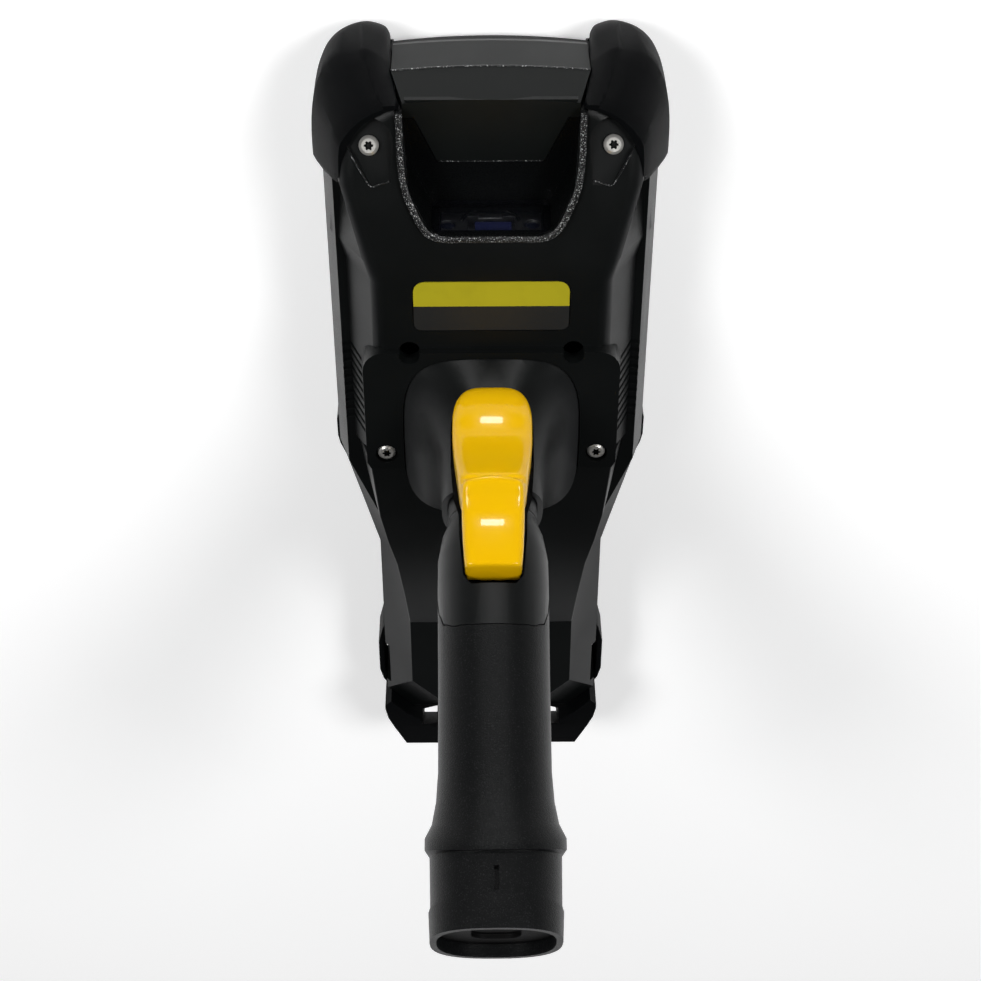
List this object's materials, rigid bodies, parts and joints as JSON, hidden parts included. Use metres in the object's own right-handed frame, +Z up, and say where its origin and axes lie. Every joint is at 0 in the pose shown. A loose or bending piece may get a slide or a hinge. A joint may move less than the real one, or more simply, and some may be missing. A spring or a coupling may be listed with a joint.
{
  "type": "handheld barcode data terminal",
  "caption": "Rugged handheld computer with a raked pistol grip, yellow trigger, recessed scan bay, rubber corner bumpers, display and numeric keypad.",
  "frame": {"origin": "middle of the bounding box on the plane that the four corner bumpers rest on, screen side down", "axes": "+X across the body, +Y from the tail to the scan head, +Z up out of the back towards the handle's foot"},
  "size_m": [0.091, 0.248, 0.1825],
  "materials": {
    "housing_plastic": "fine moulded texture, charcoal",
    "front_plastic": "fine moulded texture, black",
    "nose_plastic": "fine moulded texture, dark grey",
    "grip_plastic": "coarse moulded texture, charcoal",
    "bezel_plastic": "coarse moulded texture, black",
    "bumper_rubber": "soft black rubber",
    "seal_rubber": "soft black rubber",
    "window_glass": "clear, dark coated",
    "lens_glass": "coated lens",
    "display_glass": "polished black cover glass",
    "engine_metal": "satin",
    "label_yellow": "satin printed film",
    "label_grey": "matt printed film",
    "trigger_plastic": "glossy yellow",
    "screw_steel": "passivated",
    "switch_plastic": "moulded",
    "battery_plastic": "moulded black",
    "contact_brass": "plated",
    "board_laminate": "solder resist",
    "key_plastic": "moulded grey",
    "power_key_plastic": "moulded red"
  },
  "bodies": {
    "body": {"rear_housing": "housing_plastic", "front_housing": "front_plastic", "housing_seal": "seal_rubber", "nose_band": "nose_plastic", "head_bumper_left": "bumper_rubber", "head_bumper_right": "bumper_rubber", "tail_bumper_left": "bumper_rubber", "tail_bumper_right": "bumper_rubber", "strap_loop_left": "bumper_rubber", "strap_loop_right": "bumper_rubber", "scan_bezel": "bezel_plastic", "scan_window": "window_glass", "scan_engine": "engine_metal", "aimer_lens": "lens_glass", "camera_lens": "lens_glass", "label_yellow": "label_yellow", "label_grey": "label_grey", "trigger_shroud": "housing_plastic", "handle_saddle": "housing_plastic", "neck_cover": "housing_plastic", "grip_shell": "grip_plastic", "trigger_pin": "screw_steel", "trigger_spring": "screw_steel", "trigger_switch": "switch_plastic", "battery_contacts": "contact_brass", "hood_screws": "screw_steel", "block_screws": "screw_steel", "display_glass": "display_glass", "lcd_module": "engine_metal", "main_board": "board_laminate", "keypad_board": "board_laminate", "speaker": "engine_metal", "dock_connector": "contact_brass"},
    "trigger": {"trigger": "trigger_plastic"},
    "battery": {"battery_pack": "battery_plastic"},
    "latch": {"battery_latch": "battery_plastic"},
    "power_key_body": {"power_key": "power_key_plastic"},
    "scan_key_body": {"scan_key": "trigger_plastic"},
    "key_r1_c1_body": {"key_r1_c1": "key_plastic"},
    "key_r1_c2_body": {"key_r1_c2": "key_plastic"},
    "key_r1_c3_body": {"key_r1_c3": "key_plastic"},
    "key_r1_c4_body": {"key_r1_c4": "key_plastic"},
    "key_r2_c1_body": {"key_r2_c1": "key_plastic"},
    "key_r2_c2_body": {"key_r2_c2": "key_plastic"},
    "key_r2_c3_body": {"key_r2_c3": "key_plastic"},
    "key_r2_c4_body": {"key_r2_c4": "key_plastic"},
    "key_r3_c1_body": {"key_r3_c1": "key_plastic"},
    "key_r3_c2_body": {"key_r3_c2": "key_plastic"},
    "key_r3_c3_body": {"key_r3_c3": "key_plastic"},
    "key_r3_c4_body": {"key_r3_c4": "key_plastic"},
    "key_r4_c1_body": {"key_r4_c1": "key_plastic"},
    "key_r4_c2_body": {"key_r4_c2": "key_plastic"},
    "key_r4_c3_body": {"key_r4_c3": "key_plastic"},
    "key_r4_c4_body": {"key_r4_c4": "key_plastic"},
    "key_r5_c1_body": {"key_r5_c1": "key_plastic"},
    "key_r5_c2_body": {"key_r5_c2": "key_plastic"},
    "key_r5_c3_body": {"key_r5_c3": "key_plastic"},
    "key_r5_c4_body": {"key_r5_c4": "key_plastic"}
  },
  "joints": [
    {"name": "trigger_pull", "type": "hinge", "parent": "body", "child": "trigger", "pos_m": [0, 0.03281, 0.05763], "axis": [1, 0, 0], "range_deg": [0, 5], "stiffness_Nm_per_rad": 2, "springref_deg": -8.59},
    {"name": "battery_slide", "type": "slide", "parent": "body", "child": "battery", "axis": [0, -0.454, 0.891], "range_m": [0, 0.085]},
    {"name": "battery_latch_push", "type": "slide", "parent": "body", "child": "latch", "axis": [0, 0.891, 0.454], "range_m": [0, 0.0015], "stiffness_N_per_m": 1200, "springref_m": -0.0015},
    {"name": "power_key_press", "type": "slide", "parent": "body", "child": "power_key_body", "axis": [0, 0, 1], "range_m": [0, 0.0011], "stiffness_N_per_m": 900, "springref_m": -0.0008},
    {"name": "scan_key_press", "type": "slide", "parent": "body", "child": "scan_key_body", "axis": [0, 0, 1], "range_m": [0, 0.0011], "stiffness_N_per_m": 900, "springref_m": -0.0008},
    {"name": "key_r1_c1_press", "type": "slide", "parent": "body", "child": "key_r1_c1_body", "axis": [0, 0, 1], "range_m": [0, 0.0011], "stiffness_N_per_m": 900, "springref_m": -0.0008},
    {"name": "key_r1_c2_press", "type": "slide", "parent": "body", "child": "key_r1_c2_body", "axis": [0, 0, 1], "range_m": [0, 0.0011], "stiffness_N_per_m": 900, "springref_m": -0.0008},
    {"name": "key_r1_c3_press", "type": "slide", "parent": "body", "child": "key_r1_c3_body", "axis": [0, 0, 1], "range_m": [0, 0.0011], "stiffness_N_per_m": 900, "springref_m": -0.0008},
    {"name": "key_r1_c4_press", "type": "slide", "parent": "body", "child": "key_r1_c4_body", "axis": [0, 0, 1], "range_m": [0, 0.0011], "stiffness_N_per_m": 900, "springref_m": -0.0008},
    {"name": "key_r2_c1_press", "type": "slide", "parent": "body", "child": "key_r2_c1_body", "axis": [0, 0, 1], "range_m": [0, 0.0011], "stiffness_N_per_m": 900, "springref_m": -0.0008},
    {"name": "key_r2_c2_press", "type": "slide", "parent": "body", "child": "key_r2_c2_body", "axis": [0, 0, 1], "range_m": [0, 0.0011], "stiffness_N_per_m": 900, "springref_m": -0.0008},
    {"name": "key_r2_c3_press", "type": "slide", "parent": "body", "child": "key_r2_c3_body", "axis": [0, 0, 1], "range_m": [0, 0.0011], "stiffness_N_per_m": 900, "springref_m": -0.0008},
    {"name": "key_r2_c4_press", "type": "slide", "parent": "body", "child": "key_r2_c4_body", "axis": [0, 0, 1], "range_m": [0, 0.0011], "stiffness_N_per_m": 900, "springref_m": -0.0008},
    {"name": "key_r3_c1_press", "type": "slide", "parent": "body", "child": "key_r3_c1_body", "axis": [0, 0, 1], "range_m": [0, 0.0011], "stiffness_N_per_m": 900, "springref_m": -0.0008},
    {"name": "key_r3_c2_press", "type": "slide", "parent": "body", "child": "key_r3_c2_body", "axis": [0, 0, 1], "range_m": [0, 0.0011], "stiffness_N_per_m": 900, "springref_m": -0.0008},
    {"name": "key_r3_c3_press", "type": "slide", "parent": "body", "child": "key_r3_c3_body", "axis": [0, 0, 1], "range_m": [0, 0.0011], "stiffness_N_per_m": 900, "springref_m": -0.0008},
    {"name": "key_r3_c4_press", "type": "slide", "parent": "body", "child": "key_r3_c4_body", "axis": [0, 0, 1], "range_m": [0, 0.0011], "stiffness_N_per_m": 900, "springref_m": -0.0008},
    {"name": "key_r4_c1_press", "type": "slide", "parent": "body", "child": "key_r4_c1_body", "axis": [0, 0, 1], "range_m": [0, 0.0011], "stiffness_N_per_m": 900, "springref_m": -0.0008},
    {"name": "key_r4_c2_press", "type": "slide", "parent": "body", "child": "key_r4_c2_body", "axis": [0, 0, 1], "range_m": [0, 0.0011], "stiffness_N_per_m": 900, "springref_m": -0.0008},
    {"name": "key_r4_c3_press", "type": "slide", "parent": "body", "child": "key_r4_c3_body", "axis": [0, 0, 1], "range_m": [0, 0.0011], "stiffness_N_per_m": 900, "springref_m": -0.0008},
    {"name": "key_r4_c4_press", "type": "slide", "parent": "body", "child": "key_r4_c4_body", "axis": [0, 0, 1], "range_m": [0, 0.0011], "stiffness_N_per_m": 900, "springref_m": -0.0008},
    {"name": "key_r5_c1_press", "type": "slide", "parent": "body", "child": "key_r5_c1_body", "axis": [0, 0, 1], "range_m": [0, 0.0011], "stiffness_N_per_m": 900, "springref_m": -0.0008},
    {"name": "key_r5_c2_press", "type": "slide", "parent": "body", "child": "key_r5_c2_body", "axis": [0, 0, 1], "range_m": [0, 0.0011], "stiffness_N_per_m": 900, "springref_m": -0.0008},
    {"name": "key_r5_c3_press", "type": "slide", "parent": "body", "child": "key_r5_c3_body", "axis": [0, 0, 1], "range_m": [0, 0.0011], "stiffness_N_per_m": 900, "springref_m": -0.0008},
    {"name": "key_r5_c4_press", "type": "slide", "parent": "body", "child": "key_r5_c4_body", "axis": [0, 0, 1], "range_m": [0, 0.0011], "stiffness_N_per_m": 900, "springref_m": -0.0008}
  ]
}
